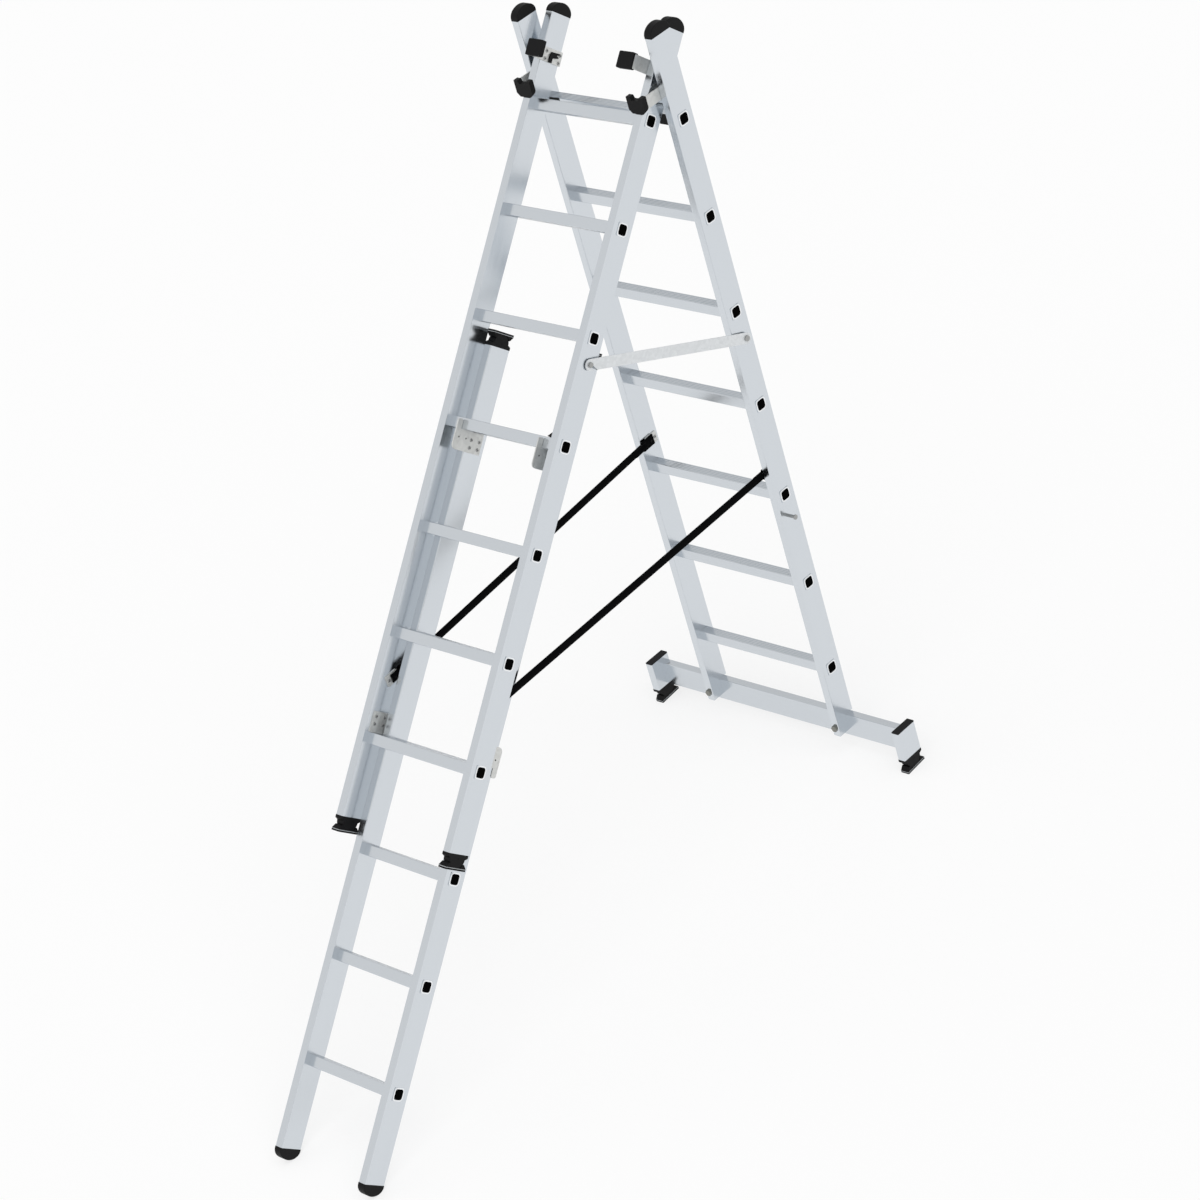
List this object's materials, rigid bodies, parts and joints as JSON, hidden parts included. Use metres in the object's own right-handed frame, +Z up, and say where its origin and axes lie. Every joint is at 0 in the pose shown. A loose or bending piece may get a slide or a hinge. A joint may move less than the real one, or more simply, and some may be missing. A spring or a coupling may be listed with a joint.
{
  "type": "combination ladder",
  "caption": "Three-section combination ladder standing as an A-frame, with a lower section hooked under the front leg, a stabiliser with hinged feet, a side strut and webbing straps.",
  "frame": {"origin": "centre of the bounding box at floor level", "axes": "+Z up, +X to the right of someone facing the rungs of the front leg, +Y from the front leg to the rear section"},
  "size_m": [0.9432, 2.187, 2.2173],
  "materials": {
    "aluminium_profile": "mill-finish extruded aluminium with a soft sheen",
    "aluminium_rung": "extruded aluminium with grooved treads",
    "galvanised_steel": "dull galvanised sheet steel",
    "strut_strip": "smooth galvanised flat strip",
    "rivet_steel": "plain steel rivets and pins",
    "zinc_bolt": "zinc-plated bolts",
    "black_plastic": "matt black moulded plastic",
    "black_rubber": "matt black rubber-like plastic",
    "black_webbing": "woven black polyester webbing"
  },
  "bodies": {
    "lower_section": {"lower_stringer_left": "aluminium_profile", "lower_stringer_right": "aluminium_profile", "lower_rung_1": "aluminium_rung", "lower_rung_2": "aluminium_rung", "lower_rung_3": "aluminium_rung", "lower_rung_4": "aluminium_rung", "lower_rung_5": "aluminium_rung", "lower_rung_6": "aluminium_rung", "lower_rung_7": "aluminium_rung", "lower_end_caps": "black_plastic", "lower_rivets": "rivet_steel", "lower_foot_holders": "black_plastic", "lower_hook_plates": "galvanised_steel"},
    "middle_section": {"middle_stringer_left": "aluminium_profile", "middle_stringer_right": "aluminium_profile", "middle_rung_1": "aluminium_rung", "middle_rung_2": "aluminium_rung", "middle_rung_3": "aluminium_rung", "middle_rung_4": "aluminium_rung", "middle_rung_5": "aluminium_rung", "middle_rung_6": "aluminium_rung", "middle_rung_7": "aluminium_rung", "middle_end_caps": "black_plastic", "middle_rivets": "rivet_steel", "middle_foot_holders": "black_plastic", "middle_hook_plates": "galvanised_steel", "middle_guide_straps": "galvanised_steel", "middle_guide_caps": "black_plastic", "middle_strap_plates": "galvanised_steel", "strut_stud": "rivet_steel"},
    "rear_section": {"rear_stringer_left": "aluminium_profile", "rear_stringer_right": "aluminium_profile", "rear_rung_1": "aluminium_rung", "rear_rung_2": "aluminium_rung", "rear_rung_3": "aluminium_rung", "rear_rung_4": "aluminium_rung", "rear_rung_5": "aluminium_rung", "rear_rung_6": "aluminium_rung", "rear_rung_7": "aluminium_rung", "rear_end_caps": "black_plastic", "rear_rivets": "rivet_steel", "stabiliser_foot_holders": "black_plastic", "stabiliser_bar": "aluminium_profile", "stabiliser_posts": "aluminium_profile", "stabiliser_bolts": "zinc_bolt", "rear_guide_straps": "galvanised_steel", "rear_guide_caps": "black_plastic", "rear_strap_plates": "galvanised_steel", "rung_pads": "black_plastic", "hinge_pins": "rivet_steel", "strut_pivot": "rivet_steel", "strap_left": "black_webbing", "strap_right": "black_webbing"},
    "strut": {"strut": "strut_strip"},
    "lower_sole_left": {"lower_sole_left": "black_rubber"},
    "lower_sole_right": {"lower_sole_right": "black_rubber"},
    "middle_sole_left": {"middle_sole_left": "black_rubber"},
    "middle_sole_right": {"middle_sole_right": "black_rubber"},
    "stabiliser_sole_left": {"stabiliser_sole_left": "black_rubber"},
    "stabiliser_sole_right": {"stabiliser_sole_right": "black_rubber"}
  },
  "joints": [
    {"name": "middle_lift", "type": "slide", "parent": "lower_section", "child": "middle_section", "axis": [0, 0.7198, 0.6942], "range_m": [0, 0.185]},
    {"name": "fold", "type": "hinge", "parent": "middle_section", "child": "rear_section", "pos_m": [0, 0.93989, 2.00173], "axis": [-1, 0, 0], "range_deg": [0, 38], "deforming": ["strap_left", "strap_right"]},
    {"name": "strut_swing", "type": "hinge", "parent": "rear_section", "child": "strut", "pos_m": [0.2545, 0.92757, 1.31138], "axis": [-0.9975, 0.0642, -0.031], "range_deg": [0, 22]},
    {"name": "lower_sole_left_tilt", "type": "hinge", "parent": "lower_section", "child": "lower_sole_left", "pos_m": [-0.1585, 0.47996, 1.519], "axis": [1, 0, 0], "range_deg": [-20, 20]},
    {"name": "lower_sole_right_tilt", "type": "hinge", "parent": "lower_section", "child": "lower_sole_right", "pos_m": [0.1585, 0.47996, 1.519], "axis": [1, 0, 0], "range_deg": [-20, 20]},
    {"name": "middle_sole_left_tilt", "type": "hinge", "parent": "middle_section", "child": "middle_sole_left", "pos_m": [-0.199, -0.47996, 0.66324], "axis": [1, 0, 0], "range_deg": [-20, 20]},
    {"name": "middle_sole_right_tilt", "type": "hinge", "parent": "middle_section", "child": "middle_sole_right", "pos_m": [0.199, -0.47996, 0.66324], "axis": [1, 0, 0], "range_deg": [-20, 20]},
    {"name": "stabiliser_sole_left_tilt", "type": "hinge", "parent": "rear_section", "child": "stabiliser_sole_left", "pos_m": [-0.4586, 0.83796, 0.03], "axis": [1, 0, 0], "range_deg": [-20, 20]},
    {"name": "stabiliser_sole_right_tilt", "type": "hinge", "parent": "rear_section", "child": "stabiliser_sole_right", "pos_m": [0.4586, 0.83796, 0.03], "axis": [1, 0, 0], "range_deg": [-20, 20]}
  ],
  "couplings": [
    {"joint": "strut_swing", "follows": "fold", "ratio": 0.57}
  ]
}
